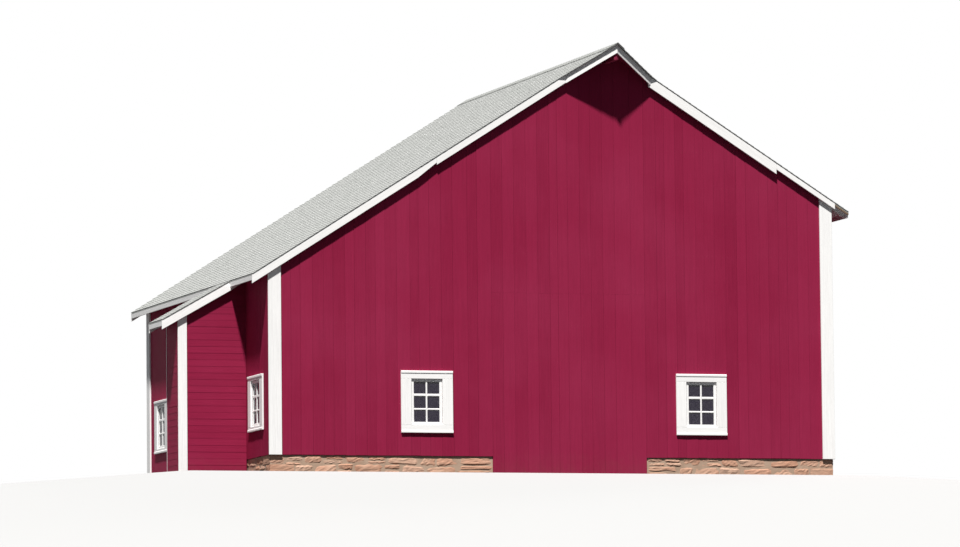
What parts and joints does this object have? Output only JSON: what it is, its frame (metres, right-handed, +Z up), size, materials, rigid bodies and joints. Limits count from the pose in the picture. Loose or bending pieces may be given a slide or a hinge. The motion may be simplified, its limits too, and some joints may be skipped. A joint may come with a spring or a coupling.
{
  "type": "timber barn",
  "caption": "Red timber-framed barn with a saltbox roof, a prow hay hood, small sash windows, a rubble foundation, a flush-boarded wagon doorway and a small side closet.",
  "frame": {"origin": "middle of the outer box on the ground", "axes": "+X along the front gable to the right seen from in front, +Y to the back of the barn, +Z up"},
  "size_m": [12.25, 9.03, 7.586],
  "materials": {
    "siding": "red barn paint, matt, on sawn boards",
    "trim": "white paint on planed boards",
    "shingles": "weathered light grey shingles",
    "stone": "tan and pink rubble",
    "timber": "hewn brown timber, bare",
    "window_glass": "old window glass, dark inside"
  },
  "bodies": {
    "root": {"foundation_front_left": "stone", "foundation_front_right": "stone", "foundation_sides": "stone", "foundation_back": "stone", "pier_stones": "stone", "side_sills": "timber", "gable_sills": "timber", "wall_posts": "timber", "inner_posts": "timber", "plates": "timber", "tie_beams": "timber", "aisle_ties": "timber", "braces": "timber", "wall_girts": "timber", "gable_studs": "timber", "rafters_left": "timber", "rafters_right": "timber", "ridge_beam": "timber", "front_wall": "siding", "doorway_boarding": "siding", "left_wall_front": "siding", "left_wall_back": "siding", "left_wall_closet": "siding", "right_wall": "siding", "back_wall": "siding", "closet_end_walls": "siding", "closet_side_wall": "siding", "roof_left": "shingles", "roof_right": "shingles", "closet_roof": "shingles", "ridge_cap": "shingles", "rake_boards_front": "trim", "rake_boards_back": "trim", "hood_boards": "trim", "eave_fascias": "trim", "eave_lookouts": "trim", "corner_boards": "trim", "closet_corner_boards": "trim", "closet_roof_boards": "trim", "gable_window_casings": "trim", "side_window_casings": "trim", "gable_window_sashes": "trim", "side_window_sashes": "trim", "gable_window_glass": "window_glass", "side_window_glass": "window_glass"}
  },
  "joints": []
}
